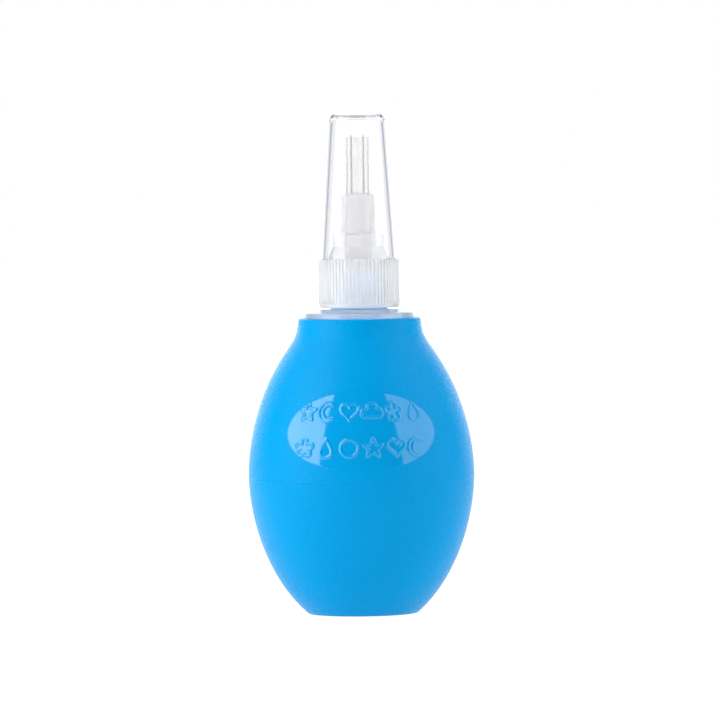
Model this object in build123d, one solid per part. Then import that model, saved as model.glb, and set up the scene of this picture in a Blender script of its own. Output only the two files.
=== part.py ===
from build123d import *
import math
import os

# A squeeze-bulb nasal aspirator, in millimetres.  +Z runs up the axis and the origin is the
# centre of the bulb's flat foot.  From the floor up it is a soft hollow bulb, a flanged neck
# insert with a threaded spout, a washer, a nozzle clamped by a ribbed screw ring, a soft tube
# tip in the nozzle's socket, and a clear dust cap over both.

# ---- squeeze bulb ----
BELLY_R = 26.0  # widest radius
BELLY_Z = 32.0  # height of the widest ring above the foot
FOOT_R = 12.6  # flat foot
BULB_WALL = 2.0
NECK_TOP_Z = 68.0  # rim of the bulb's neck
NECK_R = 13.7  # before the shoulder's blend widens it
NECK_WALL = 2.1
NECK_BLEND = 3.0  # how gently the shoulder runs out into the neck
SHOULDER_CROWN = 2.0  # the shoulder's curve would close this far above the rim
OUTLINE_POWER = 1.85  # 2 is an ellipse, and less is fuller at the belly and straighter above
OUTLINE_STEPS = 16
RIM_ROUND = 0.5

# ---- neck insert ----
FLANGE_SETBACK = 1.2  # flange edge inside the neck
FLANGE_RIM_H = 1.25
FLANGE_CONE_H = 0.85
SKIRT_L = 7.6
SKIRT_WALL = 1.4
SKIRT_LAND = 1.6  # plain stretch above the barbs
BARB_COUNT = 3
BARB_DEPTH = 0.4
SPOUT_WALL = 1.15
FLANGE_WEB = 1.3  # floor between the skirt's hollow and the flange's cone

# ---- screw ring and its thread ----
RING_R = 9.38  # over the ribs
RING_WALL = 1.73
RING_LIP_H = 1.3
RING_LIP_REACH = 0.6
RIB_COUNT = 66
RIB_DEPTH = 0.28
RIB_SHARE = 0.7  # a rib's foot as a share of the rib spacing, with a crest half as wide
PLAIN_RIM_H = 0.8
THREAD_PITCH = 3.0
THREAD_H = 0.9  # height of a ridge, root to crest
THREAD_ROOT_W = 1.4
THREAD_CREST_W = 0.7
THREAD_TURNS = 1.75
THREAD_EMBED = 0.2  # the ridge's root runs this far into its wall
THREAD_LEAD_IN = 0.1  # plain wall left below the ring's ridge
THREAD_RUN_OUT = 0.0667  # plain wall left above the spout's ridge
PLAIN_RIM_SETBACK = 0.08

# ---- nozzle ----
NOZZLE_FLANGE_H = 1.0
PLUG_L = 4.9
PLUG_WALL = 1.2
BELL_H = 2.8
BOSS_SETBACK = 1.03  # boss inside the bell, so that both pass through the ring
BOSS_H = 2.9
SLEEVE_H = 9.3
SLEEVE_WALL = 1.05
SLEEVE_DRAFT = 0.17  # the sleeve is this much wider at its foot
SLEEVE_ROUND = 0.85
LEDGE_RISE = 1.3  # socket floor above the ring's top face
LEDGE_WEB = 1.5
BOSS_ROUND = 0.35

# ---- soft tip ----
TIP_R = 2.8
TIP_BORE_R = 1.2
TIP_L = 27.2
TIP_ROUND = 0.7

# ---- washer ----
WASHER_H = 1.0

# ---- dust cap ----
CAP_WALL = 0.97
CAP_TOP_WALL = 1.5
CAP_NOSE_R = 5.62  # inner radius where the bore meets the top
CAP_HEADROOM = 3.6  # above the tip
CAP_BELL_GAP = 0.83
CAP_ROUND = 1.9
CAP_INNER_ROUND = 1.0
CAP_TONGUE_H = 1.0
CAP_TONGUE_W = 0.5
GATE_R = 1.8
GATE_H = 0.3

ROUND_SHARE = 0.85  # a rounding takes at most this share of its wall

# ---- clearances ----
SKIRT_GAP = 0.02  # insert skirt in the neck's bore
RING_FOOT_GAP = 0.4  # ring above the insert's cone
THREAD_GAP = 0.3  # crest to root, both ways
FLANK_GAP = 0.15  # between the loaded flanks
PLUG_GAP = 0.1  # nozzle plug in the spout
TURN_GAP = 0.08  # nozzle in the ring's hole
FLANGE_GAP = 0.25  # nozzle flange inside the ring's wall
SOCKET_GAP = 0.03  # tip in its socket
WASHER_GAP = 0.05  # washer round the plug
WASHER_EDGE_GAP = 0.15  # washer inside the ring's thread
TONGUE_GAP = 0.05  # cap tongue in the ring's groove

# ---- radii worked out from the sizes above ----
NECK_BORE_R = NECK_R - NECK_WALL
SKIRT_R = NECK_BORE_R - SKIRT_GAP
FLANGE_R = NECK_R - FLANGE_SETBACK
RING_ROOT_R = RING_R - RING_WALL
RING_CREST_R = RING_ROOT_R - THREAD_H
SPOUT_CREST_R = RING_ROOT_R - THREAD_GAP
SPOUT_CORE_R = SPOUT_CREST_R - THREAD_H
SPOUT_BORE_R = SPOUT_CORE_R - SPOUT_WALL
PLUG_R = SPOUT_BORE_R - PLUG_GAP
PLUG_BORE_R = PLUG_R - PLUG_WALL
RING_HOLE_R = RING_ROOT_R - RING_LIP_REACH
BELL_R = RING_HOLE_R - TURN_GAP
BOSS_R = BELL_R - BOSS_SETBACK
NOZZLE_FLANGE_R = RING_ROOT_R - FLANGE_GAP
SOCKET_R = TIP_R + SOCKET_GAP
SLEEVE_TOP_R = SOCKET_R + SLEEVE_WALL
SLEEVE_FOOT_R = SLEEVE_TOP_R + SLEEVE_DRAFT
CAP_MOUTH_R = BELL_R + CAP_BELL_GAP
TONGUE_OUT_R = CAP_MOUTH_R + CAP_TONGUE_W

# ---- heights, stacked from the neck's rim ----
CONE_TOP_Z = NECK_TOP_Z + FLANGE_RIM_H + FLANGE_CONE_H
RING_Z = CONE_TOP_Z + RING_FOOT_GAP
FLANK_STEP = (
    THREAD_ROOT_W
    - (THREAD_ROOT_W - THREAD_CREST_W) / 2 * (THREAD_H + THREAD_GAP) / THREAD_H
    + FLANK_GAP
)
RING_RIDGE_Z = RING_Z + THREAD_LEAD_IN + THREAD_ROOT_W / 2
SPOUT_RIDGE_Z = RING_RIDGE_Z + FLANK_STEP
SPOUT_TOP_Z = SPOUT_RIDGE_Z + THREAD_PITCH * THREAD_TURNS + THREAD_ROOT_W / 2 + THREAD_RUN_OUT
NOZZLE_FLANGE_Z = SPOUT_TOP_Z + WASHER_H
LIP_Z = NOZZLE_FLANGE_Z + NOZZLE_FLANGE_H
RING_TOP_Z = LIP_Z + RING_LIP_H
PLUG_Z = NOZZLE_FLANGE_Z - PLUG_L
BOSS_Z = RING_TOP_Z + BELL_H
SLEEVE_Z = BOSS_Z + BOSS_H
SLEEVE_TOP_Z = SLEEVE_Z + SLEEVE_H
LEDGE_Z = RING_TOP_Z + LEDGE_RISE
TIP_TOP_Z = LEDGE_Z + TIP_L
CAP_CEILING_Z = TIP_TOP_Z + CAP_HEADROOM
CAP_TOP_Z = CAP_CEILING_Z + CAP_TOP_WALL

# ---- the bulb's outline: two nearly elliptical halves that meet at the belly ----
LOWER_RISE = BELLY_Z / (1 - (FOOT_R / BELLY_R) ** 2) ** (1 / OUTLINE_POWER)
UPPER_RISE = NECK_TOP_Z + SHOULDER_CROWN - BELLY_Z


def belly(z, wall=0.0):
    """Radius of the two halves at height z, both moved in by a wall."""
    rise = (UPPER_RISE if z > BELLY_Z else LOWER_RISE) - wall
    return (BELLY_R - wall) * math.sqrt(1 - (abs(z - BELLY_Z) / rise) ** OUTLINE_POWER)


def bulb_radius(z):
    """Outer radius: above the belly the curve runs smoothly out into the neck."""
    if z <= BELLY_Z:
        return belly(z)
    over = belly(z) - NECK_R
    blend = NECK_BLEND * ((z - BELLY_Z) / (NECK_TOP_Z - BELLY_Z)) ** 2
    return NECK_R + (over + math.sqrt(over**2 + blend**2)) / 2


def at(radius, height):
    """A point of an outline, which lies in the XZ plane."""
    return Vector(radius, 0, height)


def turned(*lines):
    """Solid of revolution about Z from the lines of a closed outline."""
    return revolve(make_face(Curve() + list(lines)), Axis.Z)


def turned_corners(*corners):
    """Solid of revolution about Z from (radius, height) corners joined by straight lines."""
    return turned(Polyline(*[at(*corner) for corner in corners], close=True))


def tube(outer, inner, low, high):
    """Plain tube about Z."""
    return turned_corners((inner, low), (outer, low), (outer, high), (inner, high))


def rim(solid, radius, height):
    """The circular edges of a solid that have this radius at this height."""
    near = 1e-4
    return [
        edge
        for edge in solid.edges().filter_by(GeomType.CIRCLE)
        if abs(edge.radius - radius) < near and abs(edge.center().Z - height) < near
    ]


def rounded(solid, radius, height, rounding, wall):
    """The solid with one circular edge rounded, by no more than its wall can take."""
    return fillet(rim(solid, radius, height), min(rounding, ROUND_SHARE * wall))


def ridge(root, crest, start_z):
    """Right-hand helical ridge with a trapezoid section, from a wall's root to its crest."""
    out = math.copysign(1, crest - root)
    path = Helix(THREAD_PITCH, THREAD_PITCH * THREAD_TURNS, root, center=(0, 0, start_z))
    across = Plane(origin=path @ 0, x_dir=(1, 0, 0), z_dir=path % 0)
    section = Polygon(
        (-out * THREAD_EMBED, -THREAD_ROOT_W / 2),
        (0, -THREAD_ROOT_W / 2),
        (out * THREAD_H, -THREAD_CREST_W / 2),
        (out * THREAD_H, THREAD_CREST_W / 2),
        (0, THREAD_ROOT_W / 2),
        (-out * THREAD_EMBED, THREAD_ROOT_W / 2),
        align=None,
    )
    return sweep(across * section, path=path, is_frenet=True)


def make_bulb():
    """Soft hollow bulb with a flat foot, an even wall and an open neck."""
    heights = [NECK_TOP_Z * i / OUTLINE_STEPS for i in range(OUTLINE_STEPS + 1)]
    side = Spline(*[at(bulb_radius(z), z) for z in heights])
    body = turned(side, Polyline(side @ 1, at(0, NECK_TOP_Z), at(0, 0), side @ 0))
    bore_share = 1 - (NECK_BORE_R / (BELLY_R - BULB_WALL)) ** 2
    bore_z = BELLY_Z + (UPPER_RISE - BULB_WALL) * bore_share ** (1 / OUTLINE_POWER)
    span = bore_z - BULB_WALL
    levels = [BULB_WALL + span * i / OUTLINE_STEPS for i in range(OUTLINE_STEPS + 1)]
    inside = Spline(*[at(belly(z, BULB_WALL), z) for z in levels])
    cavity = turned(
        inside,
        Polyline(
            inside @ 1,
            at(NECK_BORE_R, NECK_TOP_Z + 1),
            at(0, NECK_TOP_Z + 1),
            at(0, BULB_WALL),
            inside @ 0,
        ),
    )
    bulb = body - cavity
    return rounded(bulb, side.position_at(1).X, NECK_TOP_Z, RIM_ROUND, NECK_WALL)


def make_neck_insert():
    """Flanged insert: a barbed skirt down in the neck and a threaded spout above it."""
    skirt_in = SKIRT_R - SKIRT_WALL
    barb_h = (SKIRT_L - SKIRT_LAND) / BARB_COUNT
    barbs = []
    for i in range(BARB_COUNT):
        top = NECK_TOP_Z - SKIRT_LAND - i * barb_h
        barbs += [(SKIRT_R - BARB_DEPTH, top), (SKIRT_R, top - barb_h * 0.25)]
    foot_z = NECK_TOP_Z - SKIRT_L
    rim_z = NECK_TOP_Z + FLANGE_RIM_H
    web_z = CONE_TOP_Z - FLANGE_WEB
    body = turned_corners(
        (SPOUT_BORE_R, SPOUT_TOP_Z),
        (SPOUT_BORE_R, web_z),
        (skirt_in, web_z),
        (skirt_in, foot_z),
        (SKIRT_R - BARB_DEPTH, foot_z),
        *reversed(barbs),
        (SKIRT_R, NECK_TOP_Z - SKIRT_LAND),
        (SKIRT_R, NECK_TOP_Z),
        (FLANGE_R, NECK_TOP_Z),
        (FLANGE_R, rim_z),
        (RING_R, CONE_TOP_Z),
        (SPOUT_CORE_R, CONE_TOP_Z),
        (SPOUT_CORE_R, SPOUT_TOP_Z),
    )
    return body + ridge(SPOUT_CORE_R, SPOUT_CREST_R, SPOUT_RIDGE_Z)


def rib_outline():
    """Closed outline of the ring's ribs: a crest and a valley by turns all the way round."""
    valley = RING_R - RIB_DEPTH
    pitch = 2 * math.pi / RIB_COUNT
    foot = RIB_SHARE / 2
    crest = foot / 2
    steps = ((-foot, valley), (-crest, RING_R), (crest, RING_R), (foot, valley))
    return [
        (radius * math.cos((i + share) * pitch), radius * math.sin((i + share) * pitch))
        for i in range(RIB_COUNT)
        for share, radius in steps
    ]


def make_screw_ring():
    """Ribbed ring with a lip over the nozzle's flange, a thread, and a groove for the cap."""
    ribs_z = RING_Z + PLAIN_RIM_H
    ribs = extrude(Pos(0, 0, ribs_z) * Polygon(*rib_outline(), align=None), RING_TOP_Z - ribs_z)
    body = ribs + tube(RING_R - PLAIN_RIM_SETBACK, 0, RING_Z, ribs_z)
    hollow = turned_corners(
        (0, RING_Z),
        (RING_ROOT_R, RING_Z),
        (RING_ROOT_R, LIP_Z),
        (RING_HOLE_R, LIP_Z),
        (RING_HOLE_R, RING_TOP_Z),
        (0, RING_TOP_Z),
    )
    groove = tube(
        TONGUE_OUT_R + TONGUE_GAP, CAP_MOUTH_R - TONGUE_GAP, RING_TOP_Z - CAP_TONGUE_H, RING_TOP_Z
    )
    return body - hollow - groove + ridge(RING_ROOT_R, RING_CREST_R, RING_RIDGE_Z)


def make_washer():
    """Flat sealing washer between the spout's rim and the nozzle's flange."""
    return tube(RING_CREST_R - WASHER_EDGE_GAP, PLUG_R + WASHER_GAP, SPOUT_TOP_Z, NOZZLE_FLANGE_Z)


def make_nozzle():
    """Stepped nozzle: plug, flange, bell, boss and the sleeve that holds the tip."""
    body = turned_corners(
        (PLUG_BORE_R, PLUG_Z),
        (PLUG_R, PLUG_Z),
        (PLUG_R, NOZZLE_FLANGE_Z),
        (NOZZLE_FLANGE_R, NOZZLE_FLANGE_Z),
        (NOZZLE_FLANGE_R, LIP_Z),
        (BELL_R, LIP_Z),
        (BELL_R, RING_TOP_Z),
        (BOSS_R, BOSS_Z),
        (BOSS_R, SLEEVE_Z),
        (SLEEVE_FOOT_R, SLEEVE_Z),
        (SLEEVE_TOP_R, SLEEVE_TOP_Z),
        (SOCKET_R, SLEEVE_TOP_Z),
        (SOCKET_R, LEDGE_Z),
        (TIP_BORE_R, LEDGE_Z),
        (TIP_BORE_R, LEDGE_Z - LEDGE_WEB),
        (PLUG_BORE_R, LEDGE_Z - LEDGE_WEB),
    )
    body = rounded(body, SLEEVE_TOP_R, SLEEVE_TOP_Z, SLEEVE_ROUND, SLEEVE_WALL)
    return rounded(body, BOSS_R, SLEEVE_Z, BOSS_ROUND, BOSS_R - SLEEVE_FOOT_R)


def make_soft_tip():
    """Soft tube whose lower end sits in the nozzle's socket."""
    body = tube(TIP_R, TIP_BORE_R, LEDGE_Z, TIP_TOP_Z)
    return rounded(body, TIP_R, TIP_TOP_Z, TIP_ROUND, TIP_R - TIP_BORE_R)


def make_cap():
    """Clear tapered cap with a tongue round its mouth and a gate mark under its top."""
    nose_out = CAP_NOSE_R + CAP_WALL
    body = turned_corners(
        (0, CAP_TOP_Z),
        (nose_out, CAP_TOP_Z),
        (CAP_MOUTH_R + CAP_WALL, RING_TOP_Z),
        (TONGUE_OUT_R, RING_TOP_Z),
        (TONGUE_OUT_R, RING_TOP_Z - CAP_TONGUE_H),
        (CAP_MOUTH_R, RING_TOP_Z - CAP_TONGUE_H),
        (CAP_MOUTH_R, RING_TOP_Z),
        (CAP_NOSE_R, CAP_CEILING_Z),
        (0, CAP_CEILING_Z),
    )
    body = rounded(body, nose_out, CAP_TOP_Z, CAP_ROUND, nose_out)
    body = rounded(body, CAP_NOSE_R, CAP_CEILING_Z, CAP_INNER_ROUND, CAP_NOSE_R)
    return body + Pos(0, 0, CAP_CEILING_Z - GATE_H / 2) * Cylinder(GATE_R, GATE_H)


MAKERS = {
    "squeeze_bulb": make_bulb,
    "neck_insert": make_neck_insert,
    "screw_ring": make_screw_ring,
    "sealing_washer": make_washer,
    "nozzle": make_nozzle,
    "soft_tip": make_soft_tip,
    "dust_cap": make_cap,
}

os.makedirs("parts", exist_ok=True)
for name, make in MAKERS.items():
    export_step(make(), f"parts/{name}.step")
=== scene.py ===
import math

import bpy
import numpy as np
from mathutils import Euler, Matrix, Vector


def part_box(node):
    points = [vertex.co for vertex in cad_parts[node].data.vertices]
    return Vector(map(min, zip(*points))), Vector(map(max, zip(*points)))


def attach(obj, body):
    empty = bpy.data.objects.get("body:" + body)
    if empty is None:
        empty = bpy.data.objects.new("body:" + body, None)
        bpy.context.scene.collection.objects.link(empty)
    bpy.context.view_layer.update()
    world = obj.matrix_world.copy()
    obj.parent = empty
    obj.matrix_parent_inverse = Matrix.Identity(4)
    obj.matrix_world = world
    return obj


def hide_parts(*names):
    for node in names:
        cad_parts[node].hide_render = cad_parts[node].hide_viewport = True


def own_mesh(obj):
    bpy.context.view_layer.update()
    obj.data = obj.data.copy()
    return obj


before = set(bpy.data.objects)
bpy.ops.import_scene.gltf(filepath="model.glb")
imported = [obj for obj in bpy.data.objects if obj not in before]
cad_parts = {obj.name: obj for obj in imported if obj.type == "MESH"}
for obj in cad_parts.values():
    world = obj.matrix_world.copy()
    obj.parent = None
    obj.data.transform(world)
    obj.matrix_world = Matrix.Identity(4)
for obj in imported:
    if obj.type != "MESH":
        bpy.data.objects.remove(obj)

# A squeeze-bulb nasal aspirator.  Every piece is a surface turned about the Z axis: a wall's
# section is an outline of (radius, height) points, and the grid of points is that outline
# carried round the axis.  Outlines are in millimetres and meshes in metres.

MM = 0.001
SAME = 1e-6
SHARP_ANGLE = math.radians(38)
SIDE_STEP = 0.6
SHADING_HOLD = 0.08
SHORTEST_SIDE = 0.05
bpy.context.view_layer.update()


def radius_of(node):
    """Largest radius of a CAD node, in millimetres."""
    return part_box(node)[1].y / MM


def foot_of(node):
    """Lowest height of a CAD node, in millimetres."""
    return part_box(node)[0].z / MM


def top_of(node):
    """Greatest height of a CAD node, in millimetres."""
    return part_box(node)[1].z / MM


# ---- squeeze bulb ----
BELLY_R = radius_of("squeeze_bulb")
NECK_TOP = top_of("squeeze_bulb")
BELLY_Z = 32.0
FOOT_R = 12.6
BULB_WALL = 2.0
NECK_R = 13.7
NECK_BORE_R = 11.6
NECK_BLEND = 3.0
SHOULDER_CROWN = 2.0
OUTLINE_POWER = 1.85
RIM_ROUND = 0.5
FOOT_ROUND = 0.15
PARTING_Z = 31.3
PARTING_H = 0.1
PARTING_W = 0.16
LOWER_RISE = BELLY_Z / (1 - (FOOT_R / BELLY_R) ** 2) ** (1 / OUTLINE_POWER)
UPPER_RISE = NECK_TOP + SHOULDER_CROWN - BELLY_Z

# ---- glossy oval on the bulb's front and its two rows of raised motifs ----
OVAL_Z = 43.0
OVAL_HALF_H = 9.1
OVAL_HALF_ANGLE = math.radians(42.5)
OVAL_EDGE = 0.24
OVAL_STEP = 0.17
MOTIF_SIZE = 2.1
MOTIF_STROKE = 0.42
MOTIF_RISE = 0.2
MOTIF_PITCH = 5.25
UPPER_ROW_Z = 47.3
LOWER_ROW_Z = 39.2

# ---- neck insert ----
FLANGE_R = radius_of("neck_insert")
INSERT_FOOT = foot_of("neck_insert")
INSERT_COLUMNS = 160
SPOUT_TOP = top_of("neck_insert")
FLANGE_RIM_H = 1.25
CONE_TOP = NECK_TOP + 2.1
SKIRT_R = NECK_BORE_R - 0.02
SKIRT_WALL = 1.4
SKIRT_LAND = 1.6
BARB_COUNT = 3
BARB_DEPTH = 0.4
BARB_LAND_SHARE = 0.75
SPOUT_BORE_R = 5.3
SPOUT_CORE_R = 6.45
FLANGE_WEB = 1.3

# ---- screw ring ----
RING_R = radius_of("screw_ring")
RING_FOOT = foot_of("screw_ring")
RING_TOP = top_of("screw_ring")
RING_ROOT_R = 7.65
RING_HOLE_R = 7.05
RING_LIP_H = 1.3
RIB_COUNT = 66
RIB_DEPTH = 0.28
RIB_SHARE = 0.7
RIB_FOOT_FADE = (0.05, 0.35)
RIB_EDGE_FADE = (0.32, 0.1)
PLAIN_RIM_H = 0.8
PLAIN_RIM_STEP = 0.15
PLAIN_RIM_SETBACK = 0.08
GROOVE_GAP = 0.05
GROOVE_H = 1.0

# ---- thread, the same on the ring and the spout ----
THREAD_PITCH = 3.0
THREAD_H = 0.9
THREAD_ROOT_W = 1.4
THREAD_CREST_W = 0.7
THREAD_TURNS = 1.75
THREAD_FADE = 1 / 12
FLANK_STEP = 1.0833
RING_RIDGE_Z = RING_FOOT + 0.8
SPOUT_RIDGE_Z = RING_RIDGE_Z + FLANK_STEP

# ---- nozzle ----
NOZZLE_FLANGE_R = radius_of("nozzle")
PLUG_FOOT = foot_of("nozzle")
NOZZLE_COLUMNS = 144
SLEEVE_TOP = top_of("nozzle")
LIP_Z = RING_TOP - RING_LIP_H
NOZZLE_FLANGE_Z = LIP_Z - 1.0
PLUG_R = 5.2
PLUG_BORE_R = 4.0
BELL_R = 6.97
BOSS_Z = RING_TOP + 2.8
BOSS_R = 5.94
SLEEVE_Z = BOSS_Z + 2.9
SLEEVE_FOOT_R = 4.05
SLEEVE_TOP_R = 3.88
SOCKET_R = 2.83
LEDGE_WEB = 1.5

# ---- soft tip, washer and cap ----
TIP_R = radius_of("soft_tip")
TIP_FOOT = foot_of("soft_tip")
TIP_TOP = top_of("soft_tip")
TIP_BORE_R = 1.2
TIP_COLUMNS = 96
WASHER_R = radius_of("sealing_washer")
WASHER_BORE_R = 5.25
WASHER_COLUMNS = 128
CAP_R = radius_of("dust_cap")
CAP_FOOT = foot_of("dust_cap")
CAP_TOP = top_of("dust_cap")
CAP_WALL = 0.97
CAP_TOP_WALL = 1.5
CAP_NOSE_R = 5.62
CAP_TONGUE_W = 0.5
CAP_TONGUE_GAP = 0.83
GATE_R = 1.8
GATE_H = 0.3
CAP_COLUMNS = 176


# ------------------------------------------------------------------ outlines and grids


def unit(vector):
    """The vector at length one."""
    return vector / np.linalg.norm(vector)


def corner_arc(before, corner, after, rounding):
    """Arc that rounds one corner and touches both its sides.

    Its centre lies on the corner's bisector, rounding / sin(half the corner's angle) away, and
    its points are the centre plus the radius turned evenly from one side to the other.
    """
    if rounding == 0:
        return corner[None, :]
    back, on = unit(before - corner), unit(after - corner)
    half = math.acos(np.clip(back @ on, -1, 1)) / 2
    centre = corner + unit(back + on) * rounding / math.sin(half)
    reach = rounding / math.tan(half)
    first, last = corner + back * reach - centre, corner + on * reach - centre
    start = math.atan2(first[1], first[0])
    sweep = (math.atan2(last[1], last[0]) - start + math.pi) % (2 * math.pi) - math.pi
    steps = max(4, int(abs(sweep) * (3 + 2 * rounding)))
    turn = start + sweep * np.linspace(0, 1, steps + 1)
    return centre + rounding * np.stack([np.cos(turn), np.sin(turn)], axis=1)


def side_points(start, end, step):
    """Points inside a straight side: even steps, and one close to each end to hold the shading."""
    length = np.linalg.norm(end - start)
    if length < SHORTEST_SIDE:
        return np.zeros((0, 2))
    hold = min(SHADING_HOLD, length / 4) / length
    inner = np.linspace(hold, 1 - hold, max(2, int(length / step) + 1))
    return start + (end - start) * inner[:, None]


def outline(corners, closed=True):
    """Points along a wall's section, from (radius, height, rounding, step) corners.

    Every corner becomes its arc and every side between two arcs is cut to its step.
    """
    places = np.array([corner[:2] for corner in corners], float)
    roundings = [corner[2] if len(corner) > 2 else 0 for corner in corners]
    steps = [corner[3] if len(corner) > 3 else SIDE_STEP for corner in corners]
    count = len(corners)
    if not closed:
        roundings[0] = roundings[-1] = 0
    arcs = [
        corner_arc(places[i - 1], places[i], places[(i + 1) % count], roundings[i])
        for i in range(count)
    ]
    runs = []
    for i in range(count):
        runs.append(arcs[i])
        if closed or i < count - 1:
            runs.append(side_points(arcs[i][-1], arcs[(i + 1) % count][0], steps[i]))
    return np.concatenate(runs)


def around(columns):
    """Even angles round the axis, measured from +X."""
    return np.linspace(0, 2 * math.pi, columns, endpoint=False)


def carried(radii, heights, angles):
    """Grid of points in metres: (radius cos angle, radius sin angle, height)."""
    radii, heights = np.broadcast_arrays(radii, heights)
    x = radii * np.cos(angles)
    y = radii * np.sin(angles)
    return np.stack([x, y, heights + 0 * x], axis=2) * MM


def faces_of(rows, columns, wraps):
    """Quads of a grid whose columns close up; without wraps both end rows are one vertex."""
    if wraps:
        index = np.arange(rows * columns).reshape(rows, columns)
        upper = np.roll(index, -1, axis=0)
        quads = [index, np.roll(index, -1, axis=1), np.roll(upper, -1, axis=1), upper]
        return [np.stack(quads, axis=2).reshape(-1, 4)]
    index = 1 + np.arange((rows - 2) * columns).reshape(rows - 2, columns)
    low, high = index[:-1], index[1:]
    quads = np.stack([low, np.roll(low, -1, axis=1), np.roll(high, -1, axis=1), high], axis=2)
    first, last = index[0], index[-1]
    start = np.stack([np.zeros_like(first), np.roll(first, -1), first], axis=1)
    end = np.stack([last, np.roll(last, -1), np.full_like(last, index[-1, -1] + 1)], axis=1)
    return [quads.reshape(-1, 4), start, end]


def signed_volume(points, faces):
    """Volume that the faces enclose: the sum of corner . (edge x edge) over all triangles / 6."""
    total = 0.0
    for block in faces:
        for i in range(2, block.shape[1]):
            a, b, c = points[block[:, 0]], points[block[:, i - 1]], points[block[:, i]]
            total += np.einsum("ij,ij->", a, np.cross(b, c))
    return total / 6


def turned_piece(name, grid, wraps, material, body, node):
    """Closed smooth-shaded object from a grid of points, in place of its CAD node."""
    rows, columns = grid.shape[:2]
    points = grid.reshape(-1, 3)
    if not wraps:
        points = np.concatenate([grid[0, :1], grid[1:-1].reshape(-1, 3), grid[-1, :1]])
    faces = faces_of(rows, columns, wraps)
    if signed_volume(points, faces) < 0:
        faces = [block[:, ::-1] for block in faces]
    mesh = bpy.data.meshes.new(name)
    mesh.from_pydata(points.tolist(), [], sum((block.tolist() for block in faces), []))
    mesh.polygons.foreach_set("use_smooth", np.ones(len(mesh.polygons), bool))
    mesh.set_sharp_from_angle(angle=SHARP_ANGLE)
    mesh.materials.append(material)
    piece = bpy.data.objects.new(name, mesh)
    bpy.context.scene.collection.objects.link(piece)
    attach(piece, body)
    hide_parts(node)
    return piece


def smooth_step(value, low, high):
    """0 below low, 1 above high, and the cubic 3 t^2 - 2 t^3 between them."""
    t = np.clip((value - low) / (high - low), 0, 1)
    return t * t * (3 - 2 * t)


def thread_share(angles, heights, start_z):
    """How much of the ridge's height stands at each point, from 0 to 1.

    The ridge's middle is the helix start_z + pitch * turns travelled.  At each angle the nearest
    coil is found, and the share falls from 1 on the crest to 0 at the foot of the flanks.  The
    ridge fades in and out over a twelfth of a turn at its ends.
    """
    turn = angles / (2 * math.pi)
    coils = np.floor(THREAD_TURNS - turn)
    coil = np.clip(np.round((heights - start_z) / THREAD_PITCH - turn), 0, coils)
    travelled = coil + turn
    off = np.abs(heights - start_z - THREAD_PITCH * travelled)
    flank = smooth_step(-off, -THREAD_ROOT_W / 2, -THREAD_CREST_W / 2)
    begun = smooth_step(travelled, 0, THREAD_FADE)
    left = smooth_step(THREAD_TURNS - travelled, 0, THREAD_FADE)
    return flank * begun * left


# ------------------------------------------------------------------ materials


NOISE_SPAN = (0.3, 0.7)
GRAIN_CELLS = 2300
CLOUD_CELLS = 45
POLISH_CELLS = 420
WAVE_CELLS = 160
BULB_BLUES = ((0.0, 0.27, 0.590), (0.0, 0.283, 0.612))
MATTE_ROUGHNESS = (0.22, 0.32)
OVAL_ROUGHNESS = (0.07, 0.10)
MATTE_GLOSS = 0.045
OVAL_GLOSS = 0.5
GRAIN_DEPTH = 0.00014
VINYL_IOR = 1.5
PLASTIC_IOR = 1.45
SILICONE_IOR = 1.41
SCATTER_REACH = 0.003
WAVINESS = 0.000003

# colour, share transmitted, least and greatest roughness, refractive index, painted glow (an even
# emission standing for light scattered inside)
PLASTICS = {
    "insert_plastic": ((0.74, 0.89, 1.0), 0.85, (0.12, 0.18), PLASTIC_IOR, (0.038, 0.05, 0.074)),
    "ring_plastic": ((0.98, 0.985, 1.0), 0.68, (0.16, 0.22), PLASTIC_IOR, (0.056, 0.054, 0.055)),
    "nozzle_plastic": ((0.985, 0.985, 1.0), 0.7, (0.18, 0.24), PLASTIC_IOR, (0.074, 0.073, 0.076)),
    "washer_silicone": ((0.97, 0.97, 0.97), 0.25, (0.38, 0.5), SILICONE_IOR, (0.01, 0.01, 0.01)),
    "tip_silicone": ((1.0, 0.985, 0.975), 0.87, (0.1, 0.14), SILICONE_IOR, (0.048, 0.045, 0.044)),
    "cap_plastic": ((0.99, 0.985, 0.98), 1.0, (0.0, 0.0), PLASTIC_IOR, (0.004, 0.004, 0.004)),
}


def blank_material(name):
    """New node material; returns it, its node tree and its Principled shader."""
    material = bpy.data.materials.new(name)
    material.use_nodes = True
    tree = material.node_tree
    return material, tree, tree.nodes["Principled BSDF"]


def put(tree, kind, links=(), **values):
    """Adds one node, sets its values and links its inputs from (input name, socket) pairs."""
    node = tree.nodes.new(kind)
    for key, value in values.items():
        if hasattr(node, key):
            setattr(node, key, value)
        else:
            node.inputs[key].default_value = value
    for key, socket in links:
        tree.links.new(socket, node.inputs[key])
    return node


def noise(tree, scale, detail=2.0):
    """Noise in the piece's own Object coordinates, with scale in cells per metre."""
    place = put(tree, "ShaderNodeTexCoord").outputs["Object"]
    return put(tree, "ShaderNodeTexNoise", [("Vector", place)], Scale=scale, Detail=detail)


def ranged(tree, socket, low, high, to_low, to_high):
    """Maps a value's range low..high to another, held at both ends."""
    node = put(tree, "ShaderNodeMapRange", [("Value", socket)])
    limits = {"From Min": low, "From Max": high, "To Min": to_low, "To Max": to_high}
    for name, value in limits.items():
        node.inputs[name].default_value = value
    return node.outputs["Result"]


def maths(tree, operation, first, second):
    """One Math node of two values, each a socket or a number."""
    node = put(tree, "ShaderNodeMath", operation=operation)
    for i, value in enumerate((first, second)):
        if hasattr(value, "is_output"):
            tree.links.new(value, node.inputs[i])
        else:
            node.inputs[i].default_value = value
    return node.outputs[0]


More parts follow.
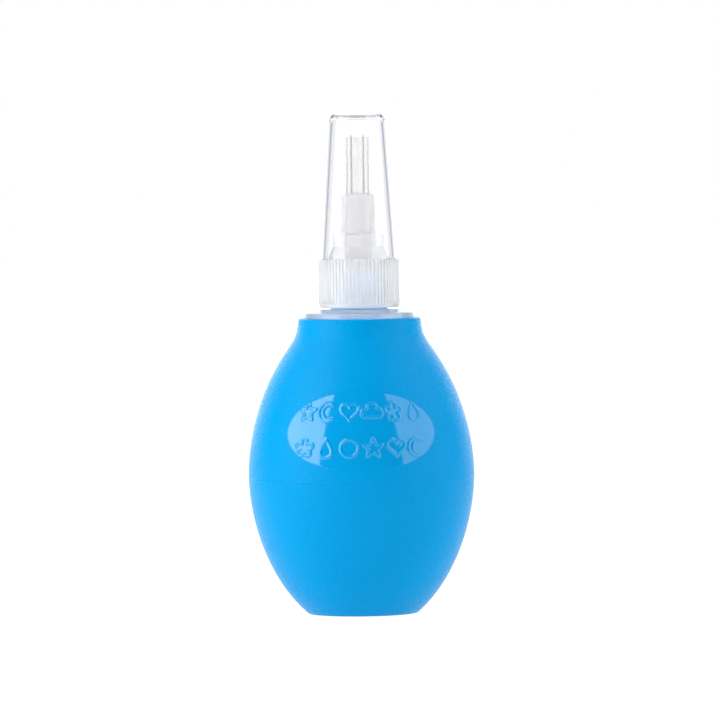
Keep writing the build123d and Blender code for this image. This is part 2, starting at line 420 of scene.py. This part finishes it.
def blended(tree, share, first, second):
    """Value between two, each a socket or a number, by a share of the second."""
    step = maths(tree, "SUBTRACT", second, first)
    return maths(tree, "ADD", first, maths(tree, "MULTIPLY", share, step))


def bumped(tree, shader, height, depth):
    """Bump of a given depth in metres on the shader's normal."""
    bump = put(tree, "ShaderNodeBump", [("Height", height)], Strength=1.0, Distance=depth)
    tree.links.new(bump.outputs["Normal"], shader.inputs["Normal"])


def bulb_vinyl():
    """Soft blue vinyl: fine blasted grain all over, polished where the oval attribute is 1."""
    material, tree, shader = blank_material("bulb_vinyl")
    oval = put(tree, "ShaderNodeAttribute", attribute_name="oval").outputs["Fac"]
    matte = maths(tree, "SUBTRACT", 1.0, oval)
    grain = noise(tree, GRAIN_CELLS, 1.0).outputs["Fac"]
    clouds = noise(tree, CLOUD_CELLS).outputs["Fac"]
    tint = put(tree, "ShaderNodeValToRGB", [("Fac", clouds)])
    for stop, place, blue in zip(tint.color_ramp.elements, NOISE_SPAN, BULB_BLUES):
        stop.position = place
        stop.color = (*blue, 1)
    tree.links.new(tint.outputs["Color"], shader.inputs["Base Color"])
    rough = ranged(tree, grain, *NOISE_SPAN, *MATTE_ROUGHNESS)
    polished = ranged(tree, grain, *NOISE_SPAN, *OVAL_ROUGHNESS)
    mixed = put(tree, "ShaderNodeMix", [("Factor", oval)], data_type="FLOAT")
    tree.links.new(rough, mixed.inputs["A"])
    tree.links.new(polished, mixed.inputs["B"])
    tree.links.new(mixed.outputs["Result"], shader.inputs["Roughness"])
    bumped(tree, shader, maths(tree, "MULTIPLY", grain, matte), GRAIN_DEPTH)
    gloss = ranged(tree, oval, 0, 1, MATTE_GLOSS, OVAL_GLOSS)
    tree.links.new(gloss, shader.inputs["Specular IOR Level"])
    shader.inputs["IOR"].default_value = VINYL_IOR
    return material


def clear_plastic(name):
    """Moulded clear or milky plastic: what isn't transmitted scatters inside it, and the polish
    and the surface are faintly uneven.  The glow is painted light: an even emission that stands
    for light that scatters on inside, so the piece glows though it is no lamp."""
    color, transmission, roughness, ior, painted_glow = PLASTICS[name]
    material, tree, shader = blank_material(name)
    shader.inputs["Base Color"].default_value = (*color, 1)
    shader.inputs["Transmission Weight"].default_value = transmission
    shader.inputs["Subsurface Weight"].default_value = 1.0
    shader.inputs["Subsurface Radius"].default_value = (1.0, 1.0, 1.0)
    shader.inputs["Subsurface Scale"].default_value = SCATTER_REACH
    shader.inputs["IOR"].default_value = ior
    shader.inputs["Roughness"].default_value = roughness[0]
    if roughness[0] < roughness[1]:
        patches = noise(tree, POLISH_CELLS, 3.0).outputs["Fac"]
        uneven = ranged(tree, patches, *NOISE_SPAN, *roughness)
        tree.links.new(uneven, shader.inputs["Roughness"])
    bumped(tree, shader, noise(tree, WAVE_CELLS, 1.0).outputs["Fac"], WAVINESS)
    # Painted glow: an even emission that brightens the piece in place of light scattered inside it.
    shader.inputs["Emission Color"].default_value = (*painted_glow, 1)
    shader.inputs["Emission Strength"].default_value = 1.0
    return material


# ------------------------------------------------------------------ the bulb


def belly(z, wall=0.0):
    """Radius of the bulb's two nearly elliptical halves, both moved in by a wall.

    radius = R * sqrt(1 - |rise share| ^ power), with the rise measured from the belly.
    """
    rise = np.where(z > BELLY_Z, UPPER_RISE, LOWER_RISE) - wall
    share = np.clip(np.abs(z - BELLY_Z) / rise, 0, 1)
    return (BELLY_R - wall) * np.sqrt(1 - share**OUTLINE_POWER)


def bulb_radius(z):
    """Outer radius: above the belly a square-root blend runs the curve out into the neck."""
    over = belly(z) - NECK_R
    blend = NECK_BLEND * (np.clip(z - BELLY_Z, 0, None) / (NECK_TOP - BELLY_Z)) ** 2
    return np.where(z > BELLY_Z, NECK_R + (over + np.sqrt(over**2 + blend**2)) / 2, belly(z))


def bulb_side():
    """Outer side from foot to rim: the outline, eased at the foot's edge, with the thin
    parting line round the belly as a small bell-shaped ridge."""
    z = np.unique(
        np.concatenate(
            [
                FOOT_ROUND * np.array([0, 0.3, 0.8, 1.6, 2.8]),
                np.linspace(0.7, OVAL_Z - OVAL_HALF_H - 0.5, 30),
                PARTING_Z + PARTING_W * np.linspace(-3, 3, 13),
                np.arange(OVAL_Z - OVAL_HALF_H - 0.4, OVAL_Z + OVAL_HALF_H + 0.4, OVAL_STEP),
                np.linspace(OVAL_Z + OVAL_HALF_H + 0.8, NECK_TOP - RIM_ROUND, 26),
            ]
        )
    )
    eased = FOOT_ROUND * np.exp(-z / FOOT_ROUND)
    parting = PARTING_H * np.exp(-(((z - PARTING_Z) / PARTING_W) ** 2))
    return np.stack([bulb_radius(z) - eased + parting, z], axis=1)


def bulb_outline():
    """The bulb's whole section: foot, side, rounded rim, bore, cavity wall and floor."""
    side = bulb_side()
    foot = np.stack([np.linspace(0, side[0, 0], 6)[:-1], np.zeros(5)], axis=1)
    rim_r = side[-1, 0]
    turn = np.linspace(0, math.pi / 2, 7)[1:, None]
    rim = np.array([rim_r - RIM_ROUND, NECK_TOP - RIM_ROUND]) + RIM_ROUND * np.hstack(
        [np.cos(turn), np.sin(turn)]
    )
    bore_share = 1 - (NECK_BORE_R / (BELLY_R - BULB_WALL)) ** 2
    bore_z = BELLY_Z + (UPPER_RISE - BULB_WALL) * bore_share ** (1 / OUTLINE_POWER)
    lip = [(rim_r - RIM_ROUND, NECK_TOP), (NECK_BORE_R, NECK_TOP, 0.25), (NECK_BORE_R, bore_z)]
    mouth = outline(lip, closed=False)
    inner_z = np.linspace(bore_z, BULB_WALL, 40)[1:]
    cavity = np.stack([belly(inner_z, BULB_WALL), inner_z], axis=1)
    floor = np.stack([np.linspace(cavity[-1, 0], 0, 6)[1:], np.full(5, BULB_WALL)], axis=1)
    return np.concatenate([foot, side, rim, mouth[1:], cavity, floor])


def star(t):
    """Five-pointed star: straight edges between ten evenly turned corners, alternately 1.08 and
    0.48 from the middle."""
    corner = np.arange(11)
    reach = np.where(corner % 2, 0.48, 1.08)
    x = np.interp(t * 5 / math.pi, corner, reach * np.sin(corner * math.pi / 5))
    y = np.interp(t * 5 / math.pi, corner, reach * np.cos(corner * math.pi / 5))
    return x, y


def flower(t):
    """Five petals: radius 0.5 + 0.52 |cos 2.5t|^0.8."""
    radius = 0.5 + 0.52 * np.abs(np.cos(2.5 * t)) ** 0.8
    return radius * np.sin(t), radius * np.cos(t)


def heart(t):
    """Heart: x = 1.02 sin^3 t, y = (13 cos t - 5 cos 2t - 2 cos 3t - cos 4t) / 16 + 0.12."""
    y = 13 * np.cos(t) - 5 * np.cos(2 * t) - 2 * np.cos(3 * t) - np.cos(4 * t)
    return 1.02 * np.sin(t) ** 3, y / 16 + 0.12


def moon(t):
    """Crescent: the outer arc of a circle, then back along a smaller circle set to one side."""
    out = t < math.pi
    a = np.where(out, 0.75 + t * (2 * math.pi - 1.5) / math.pi, 0)
    b = np.where(out, 0, 1.02 + (2 * math.pi - t) * (2 * math.pi - 2.04) / math.pi)
    x = np.where(out, np.cos(a), 0.28 + 0.8 * np.cos(b))
    y = np.where(out, np.sin(a), 0.8 * np.sin(b))
    return x - 0.1, y


def cloud(t):
    """Cloud: lobes to the left, top and right, radius 0.66 + 0.42 |cos 2t|^0.7, over a flat foot."""
    radius = 0.66 + 0.42 * np.abs(np.cos(2 * t)) ** 0.7
    return 1.1 * radius * np.cos(t), np.maximum(radius * np.sin(t), -0.42) - 0.15


def drop(t):
    """Water drop with its point up: x = 0.86 sin t sin^1.4(t/2), y = cos t."""
    return 0.86 * np.sin(t) * np.sin(t / 2) ** 1.4, np.cos(t)


def hoop(t):
    """Plain ring of radius 0.92."""
    return 0.92 * np.cos(t), 0.92 * np.sin(t)


MOTIF_ROWS = (
    (UPPER_ROW_Z, (star, moon, heart, cloud, flower, drop)),
    (LOWER_ROW_Z, (flower, drop, hoop, star, heart, moon)),
)


def motif_relief(across, height):
    """Rise of the motifs' rounded strokes over the oval, in millimetres.

    The distance d from each point to the nearest motif line gives rise * (1 - (d / stroke)^2)^2.
    """
    across, height = np.broadcast_arrays(across, height)
    relief = np.zeros(across.shape)
    t = np.linspace(0, 2 * math.pi, 260)
    for row_z, shapes in MOTIF_ROWS:
        for i, shape in enumerate(shapes):
            middle = (i - (len(shapes) - 1) / 2) * MOTIF_PITCH
            u, v = across - middle, height - row_z
            near = np.maximum(np.abs(u), np.abs(v)) < MOTIF_SIZE * 1.3 + MOTIF_STROKE
            x, y = shape(t)
            gap = np.hypot(u[near][:, None] - MOTIF_SIZE * x, v[near][:, None] - MOTIF_SIZE * y)
            share = np.clip(1 - (gap.min(axis=1) / MOTIF_STROKE) ** 2, 0, 1)
            relief[near] = np.maximum(relief[near], MOTIF_RISE * share**2)
    return relief


def bulb_angles():
    """Angles round the bulb: fine across the oval, which faces -Y, and coarse elsewhere."""
    front = OVAL_HALF_ANGLE * 1.03
    fine = np.linspace(-front, front, int(2 * front * BELLY_R / OVAL_STEP))
    coarse = np.linspace(front, 2 * math.pi - front, 92)[1:-1]
    return np.concatenate([fine, coarse]) - math.pi / 2


def oval_mask(angles, heights):
    """1 inside the oval and 0 outside, over a soft edge; and the turn from -Y."""
    turn = (angles + math.pi / 2 + math.pi) % (2 * math.pi) - math.pi
    reach = np.hypot(turn / OVAL_HALF_ANGLE, (heights - OVAL_Z) / OVAL_HALF_H)
    return 1 - smooth_step((reach - 1) * OVAL_HALF_H, -OVAL_EDGE / 2, OVAL_EDGE / 2), turn


def make_bulb():
    """The bulb: its outline carried round, with the motifs raised on the front of its skin."""
    profile = bulb_outline()
    angles = bulb_angles()
    radii, heights = profile[:, :1] + 0 * angles, profile[:, 1:] + 0 * angles
    skin = radii > belly(heights, BULB_WALL / 2)
    mask, turn = oval_mask(angles, heights)
    mask = mask * skin
    radii = radii + mask * motif_relief(turn * belly(np.array(OVAL_Z)), heights)
    grid = carried(radii, heights, angles)
    piece = turned_piece("bulb_skin", grid, False, bulb_vinyl(), "bulb", "squeeze_bulb")
    values = np.concatenate([mask[0, :1], mask[1:-1].ravel(), mask[-1, :1]])
    attribute = piece.data.attributes.new("oval", "FLOAT", "POINT")
    attribute.data.foreach_set("value", values.astype(np.float32))
    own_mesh(piece)


# ------------------------------------------------------------------ the hard pieces


def make_neck_insert():
    """Barbed skirt, coned flange and threaded spout in one closed section."""
    barb_h = (NECK_TOP - SKIRT_LAND - INSERT_FOOT) / BARB_COUNT
    barbs = []
    for i in range(BARB_COUNT):
        foot = INSERT_FOOT + i * barb_h
        barbs.append((SKIRT_R, foot + BARB_LAND_SHARE * barb_h, 0.08))
        barbs.append((SKIRT_R - BARB_DEPTH, foot + barb_h, 0.05))
    web = CONE_TOP - FLANGE_WEB
    corners = [
        (SKIRT_R - SKIRT_WALL, INSERT_FOOT, 0.15),
        (SKIRT_R - BARB_DEPTH, INSERT_FOOT, 0.1),
        *barbs,
        (SKIRT_R, NECK_TOP - SKIRT_LAND, 0.05),
        (SKIRT_R, NECK_TOP, 0.05),
        (FLANGE_R, NECK_TOP, 0.12),
        (FLANGE_R, NECK_TOP + FLANGE_RIM_H, 0.16),
        (RING_R, CONE_TOP, 0.3),
        (SPOUT_CORE_R, CONE_TOP, 0.3, 0.14),
        (SPOUT_CORE_R, SPOUT_TOP, 0.15),
        (SPOUT_BORE_R, SPOUT_TOP, 0.15),
        (SPOUT_BORE_R, web, 0.3),
        (SKIRT_R - SKIRT_WALL, web, 0.5),
    ]
    profile = outline(corners)
    angles = around(INSERT_COLUMNS)
    r, z = profile[:, :1] + 0 * angles, profile[:, 1:] + 0 * angles
    outside = np.abs(r - SPOUT_CORE_R) < SAME
    r = r + outside * THREAD_H * thread_share(angles, z, SPOUT_RIDGE_Z)
    material = clear_plastic("insert_plastic")
    grid = carried(r, z, angles)
    turned_piece("flanged_insert", grid, True, material, "neck", "neck_insert")


def ring_angles():
    """Eight angles to a rib: two in the valley, then up the flank, over the crest and down."""
    crest, foot = RIB_SHARE / 4, RIB_SHARE / 2
    phases = np.array([-0.5, -foot, -crest, -crest / 3, crest / 3, crest, foot, 0.46])
    return (np.arange(RIB_COUNT)[:, None] + phases).ravel() * 2 * math.pi / RIB_COUNT


def valley_share(angles):
    """1 in a valley between two ribs, 0 on a crest and straight flanks between them."""
    phase = np.abs((angles * RIB_COUNT / (2 * math.pi) + 0.5) % 1 - 0.5)
    return np.clip((phase - RIB_SHARE / 4) / (RIB_SHARE / 4), 0, 1)


def make_screw_ring():
    """Ribbed outside, plain rim, cap groove, lip and threaded inside in one closed section."""
    tongue_in = BELL_R + CAP_TONGUE_GAP
    groove_in, groove_out = tongue_in - GROOVE_GAP, tongue_in + CAP_TONGUE_W + GROOVE_GAP
    rim_r = RING_R - PLAIN_RIM_SETBACK
    rim_z = RING_FOOT + PLAIN_RIM_H
    profile = outline(
        [
            (RING_ROOT_R, RING_FOOT, 0.15),
            (rim_r, RING_FOOT, 0.2),
            (rim_r, rim_z, 0.0, 0.2),
            (RING_R, rim_z + PLAIN_RIM_STEP, 0.0),
            (RING_R, RING_TOP, 0.3),
            (groove_out, RING_TOP, 0.08),
            (groove_out, RING_TOP - GROOVE_H, 0.1),
            (groove_in, RING_TOP - GROOVE_H, 0.1),
            (groove_in, RING_TOP, 0.08),
            (RING_HOLE_R, RING_TOP, 0.12),
            (RING_HOLE_R, LIP_Z, 0.1),
            (RING_ROOT_R, LIP_Z, 0.15, 0.14),
        ]
    )
    angles = ring_angles()
    r, z = profile[:, :1] + 0 * angles, profile[:, 1:] + 0 * angles
    above_rim = smooth_step(z - rim_z, *RIB_FOOT_FADE)
    outside = smooth_step(r, RING_R - RIB_EDGE_FADE[0], RING_R - RIB_EDGE_FADE[1])
    ribbed = above_rim * outside
    threaded = np.abs(r - RING_ROOT_R) < SAME
    r = r - ribbed * RIB_DEPTH * valley_share(angles)
    r = r - threaded * THREAD_H * thread_share(angles, z, RING_RIDGE_Z)
    material = clear_plastic("ring_plastic")
    grid = carried(r, z, angles)
    turned_piece("ribbed_ring", grid, True, material, "ring", "screw_ring")


def make_nozzle():
    """Plug, flange, bell, boss and sleeve in one closed section."""
    web = TIP_FOOT - LEDGE_WEB
    profile = outline(
        [
            (PLUG_BORE_R, PLUG_FOOT, 0.15),
            (PLUG_R, PLUG_FOOT, 0.3),
            (PLUG_R, NOZZLE_FLANGE_Z, 0.1),
            (NOZZLE_FLANGE_R, NOZZLE_FLANGE_Z, 0.12),
            (NOZZLE_FLANGE_R, LIP_Z, 0.1),
            (BELL_R, LIP_Z, 0.05),
            (BELL_R, RING_TOP, 0.6),
            (BOSS_R, BOSS_Z, 0.5),
            (BOSS_R, SLEEVE_Z, 0.35),
            (SLEEVE_FOOT_R, SLEEVE_Z, 0.25),
            (SLEEVE_TOP_R, SLEEVE_TOP, 0.8),
            (SOCKET_R, SLEEVE_TOP, 0.12),
            (SOCKET_R, TIP_FOOT, 0.1),
            (TIP_BORE_R, TIP_FOOT, 0.1),
            (TIP_BORE_R, web, 0.15),
            (PLUG_BORE_R, web, 0.6),
        ]
    )
    material = clear_plastic("nozzle_plastic")
    grid = carried(profile[:, :1], profile[:, 1:], around(NOZZLE_COLUMNS))
    turned_piece("stepped_nozzle", grid, True, material, "nozzle", "nozzle")


def make_washer():
    """Flat soft washer under the nozzle's flange."""
    profile = outline(
        [
            (WASHER_BORE_R, SPOUT_TOP, 0.15),
            (WASHER_R, SPOUT_TOP, 0.2),
            (WASHER_R, NOZZLE_FLANGE_Z, 0.2),
            (WASHER_BORE_R, NOZZLE_FLANGE_Z, 0.15),
        ]
    )
    material = clear_plastic("washer_silicone")
    grid = carried(profile[:, :1], profile[:, 1:], around(WASHER_COLUMNS))
    turned_piece("soft_washer", grid, True, material, "nozzle", "sealing_washer")


def make_soft_tip():
    """Soft tube with a rounded nose."""
    profile = outline(
        [
            (TIP_BORE_R, TIP_FOOT, 0.1),
            (TIP_R, TIP_FOOT, 0.15),
            (TIP_R, TIP_TOP, 0.6),
            (TIP_BORE_R, TIP_TOP, 0.2),
        ]
    )
    material = clear_plastic("tip_silicone")
    grid = carried(profile[:, :1], profile[:, 1:], around(TIP_COLUMNS))
    turned_piece("tube_tip", grid, True, material, "tip", "soft_tip")


def make_cap():
    """Clear cap: tapered wall, rounded top, tongue round the mouth and gate mark inside."""
    ceiling = CAP_TOP - CAP_TOP_WALL
    mouth_r = CAP_R - CAP_WALL
    tongue_r = mouth_r + CAP_TONGUE_W
    profile = outline(
        [
            (0, CAP_TOP),
            (CAP_NOSE_R + CAP_WALL, CAP_TOP, 1.9),
            (CAP_R, RING_TOP, 0.12),
            (tongue_r, RING_TOP, 0.0),
            (tongue_r, CAP_FOOT, 0.12),
            (mouth_r, CAP_FOOT, 0.12),
            (mouth_r, RING_TOP, 0.0),
            (CAP_NOSE_R, ceiling, 1.0),
            (GATE_R, ceiling, 0.1),
            (GATE_R, ceiling - GATE_H, 0.1),
            (0, ceiling - GATE_H),
        ],
        closed=False,
    )
    material = clear_plastic("cap_plastic")
    grid = carried(profile[:, :1], profile[:, 1:], around(CAP_COLUMNS))
    turned_piece("clear_cap", grid, False, material, "cap", "dust_cap")


# ------------------------------------------------------------------ studio

VIEW_DISTANCE = 1.6
VIEW_HEIGHT = 0.115
VIEW_WIDTH = 0.1657
VIEW_MIDDLE_Z = 0.0583
VIEW_ROLL = math.radians(0.78)
SENSOR = 36.0
BACKDROP_EDGE = math.radians(34.5)
BACKDROP_LEVEL = 2.0
BACKDROP_THROUGH = 1.27
WALL_LEVEL = 0.3
WALL_THROUGH = 0.58
WALL_TINT = (0.68, 0.82, 1.0)
ROOM_LEVEL = 0.06
HAZE_LEVEL = 0.9
CEILING_LEVEL = 1.2
WALL_FADE = math.radians(4)
SIDE_FADE = (math.radians(56), math.radians(90))
MIDDLE_FADE = (math.radians(8), math.radians(14))
TILT_FADE = (0.25, 0.5)
BEHIND_FADE = (-0.1, 0.3)
CEILING_EDGE_FRONT = 0.82
CEILING_EDGE_BEHIND = 0.35
CEILING_FADE = 0.2
SOFTBOX_DISTANCE = 0.6
SOFTBOX_AIM_Z = 0.045
# name, azimuth and elevation in degrees, width and height in metres, radiance
SOFTBOXES = (
    ("key_light", -64.5, 25, 0.5, 0.7, 4.6),
    ("fill_light", 74, 25, 0.75, 0.7, 2.1),
)
FLOOR_RADII = (0.0, 0.3, 1.0, 4.0)
FLOOR_COLUMNS = 96
FLOOR_SHADE = 0.3
FLOOR_GLOW = 0.9
LONG_PATH = 36
SCATTER_PATH = 16
BRIGHTEST_BOUNCE = 2.0


def make_camera():
    """Long lens a little above the middle of the object, looking slightly down at it."""
    camera = bpy.data.objects.new("camera", bpy.data.cameras.new("camera"))
    bpy.context.scene.collection.objects.link(camera)
    camera.data.sensor_width = SENSOR
    camera.data.lens = SENSOR * VIEW_DISTANCE / VIEW_WIDTH
    camera.data.clip_start = 0.05
    camera.data.clip_end = 20
    camera.location = (0, -VIEW_DISTANCE, VIEW_HEIGHT)
    aim = Vector((0, 0, VIEW_MIDDLE_Z)) - camera.location
    turn = aim.to_track_quat("-Z", "Y").to_matrix() @ Euler((0, 0, -VIEW_ROLL)).to_matrix()
    camera.rotation_euler = turn.to_euler()
    bpy.context.scene.camera = camera


def softbox(name, azimuth, elevation, width, height, radiance):
    """Rectangular light that faces the object; azimuth is from -Y towards +X, in degrees."""
    a, e = math.radians(azimuth), math.radians(elevation)
    back = Vector((math.sin(a) * math.cos(e), -math.cos(a) * math.cos(e), math.sin(e)))
    data = bpy.data.lights.new(name, "AREA")
    data.shape = "RECTANGLE"
    data.size, data.size_y = width, height
    data.energy = radiance * math.pi * width * height
    light = bpy.data.objects.new(name, data)
    bpy.context.scene.collection.objects.link(light)
    light.location = Vector((0, 0, SOFTBOX_AIM_Z)) + back * SOFTBOX_DISTANCE
    light.rotation_euler = back.to_track_quat("Z", "Y").to_euler()
    light.visible_camera = False


def make_floor():
    """Round pale floor that fades into the white surroundings."""
    radii = np.array(FLOOR_RADII)[:, None] / MM
    grid = carried(radii, 0 * radii, around(FLOOR_COLUMNS))
    points = np.concatenate([grid[0, :1], grid[1:].reshape(-1, 3)])
    index = np.arange(1, len(points)).reshape(-1, FLOOR_COLUMNS)
    fan = np.stack([0 * index[0], index[0], np.roll(index[0], -1)], axis=1)
    low, high = index[:-1], index[1:]
    quads = np.stack([low, high, np.roll(high, -1, axis=1), np.roll(low, -1, axis=1)], axis=2)
    mesh = bpy.data.meshes.new("floor")
    mesh.from_pydata(points.tolist(), [], fan.tolist() + quads.reshape(-1, 4).tolist())
    material, _, shader = blank_material("floor_white")
    shader.inputs["Base Color"].default_value = (FLOOR_SHADE, FLOOR_SHADE, FLOOR_SHADE, 1)
    shader.inputs["Roughness"].default_value = 0.9
    shader.inputs["Specular IOR Level"].default_value = 0.0
    shader.inputs["Emission Color"].default_value = (1, 1, 1, 1)
    shader.inputs["Emission Strength"].default_value = FLOOR_GLOW
    mesh.materials.append(material)
    floor = bpy.data.objects.new("floor", mesh)
    bpy.context.scene.collection.objects.link(floor)


def make_surroundings():
    """Studio round the object: a bright white backdrop, bluish walls beside it, a dark room on
    the camera's side, and a white ceiling over the back half.  Light that has come through a
    piece finds a white haze in place of the room and ceiling, and the camera sees white."""
    world = bpy.data.worlds.new("studio")
    world.use_nodes = True
    bpy.context.scene.world = world
    tree = world.node_tree
    background = tree.nodes["Background"]
    direction = put(tree, "ShaderNodeTexCoord").outputs["Generated"]
    parts = put(tree, "ShaderNodeSeparateXYZ", [("Vector", direction)]).outputs
    azimuth = maths(tree, "ABSOLUTE", maths(tree, "ARCTAN2", parts["X"], parts["Y"]), 0)
    beside = ranged(tree, azimuth, BACKDROP_EDGE, BACKDROP_EDGE + WALL_FADE, 0, 1)
    light_path = put(tree, "ShaderNodeLightPath").outputs
    through = light_path["Is Transmission Ray"]
    seen = light_path["Is Camera Ray"]
    tilt = maths(tree, "ABSOLUTE", parts["Z"], 0)
    level_share = ranged(tree, tilt, *TILT_FADE, 1, 0)
    aside = ranged(tree, azimuth, *SIDE_FADE, 0, 1)

    lit = blended(tree, beside, BACKDROP_LEVEL, WALL_LEVEL)
    lit = blended(tree, aside, lit, ROOM_LEVEL)
    behind = ranged(tree, parts["Y"], *BEHIND_FADE, 0, 1)
    low_edge = ranged(tree, behind, 0, 1, CEILING_EDGE_FRONT, CEILING_EDGE_BEHIND)
    over_edge = maths(tree, "SUBTRACT", parts["Z"], low_edge)
    overhead = ranged(tree, over_edge, 0, CEILING_FADE, 0, 1)
    lit = blended(tree, overhead, lit, CEILING_LEVEL)

    middle = ranged(tree, azimuth, *MIDDLE_FADE, 1, 0)
    straight = maths(tree, "MULTIPLY", middle, level_share)
    clear = blended(tree, straight, HAZE_LEVEL, BACKDROP_THROUGH)
    band = maths(tree, "MULTIPLY", beside, level_share)
    clear = blended(tree, blended(tree, aside, band, 0), clear, WALL_THROUGH)
    level = blended(tree, through, lit, clear)
    level = blended(tree, seen, level, 1.0)
    tree.links.new(level, background.inputs["Strength"])
    wall = blended(tree, through, beside, band)
    tint = put(tree, "ShaderNodeMix", [("Factor", wall)], data_type="RGBA")
    tint.inputs["A"].default_value = (1, 1, 1, 1)
    tint.inputs["B"].default_value = (*WALL_TINT, 1)
    tinted = [("Factor", seen), ("A", tint.outputs["Result"])]
    shade = put(tree, "ShaderNodeMix", tinted, data_type="RGBA")
    shade.inputs["B"].default_value = (1, 1, 1, 1)
    tree.links.new(shade.outputs["Result"], background.inputs["Color"])


def make_studio():
    """Camera, floor, surroundings and two softboxes."""
    scene = bpy.context.scene
    make_camera()
    make_floor()
    make_surroundings()
    for box in SOFTBOXES:
        softbox(*box)
    scene.view_settings.view_transform = "Standard"
    scene.cycles.max_bounces = LONG_PATH
    scene.cycles.transmission_bounces = LONG_PATH
    scene.cycles.glossy_bounces = LONG_PATH
    scene.cycles.diffuse_bounces = SCATTER_PATH
    scene.cycles.sample_clamp_indirect = BRIGHTEST_BOUNCE


make_studio()
make_bulb()
make_neck_insert()
make_screw_ring()
make_washer()
make_nozzle()
make_soft_tip()
make_cap()
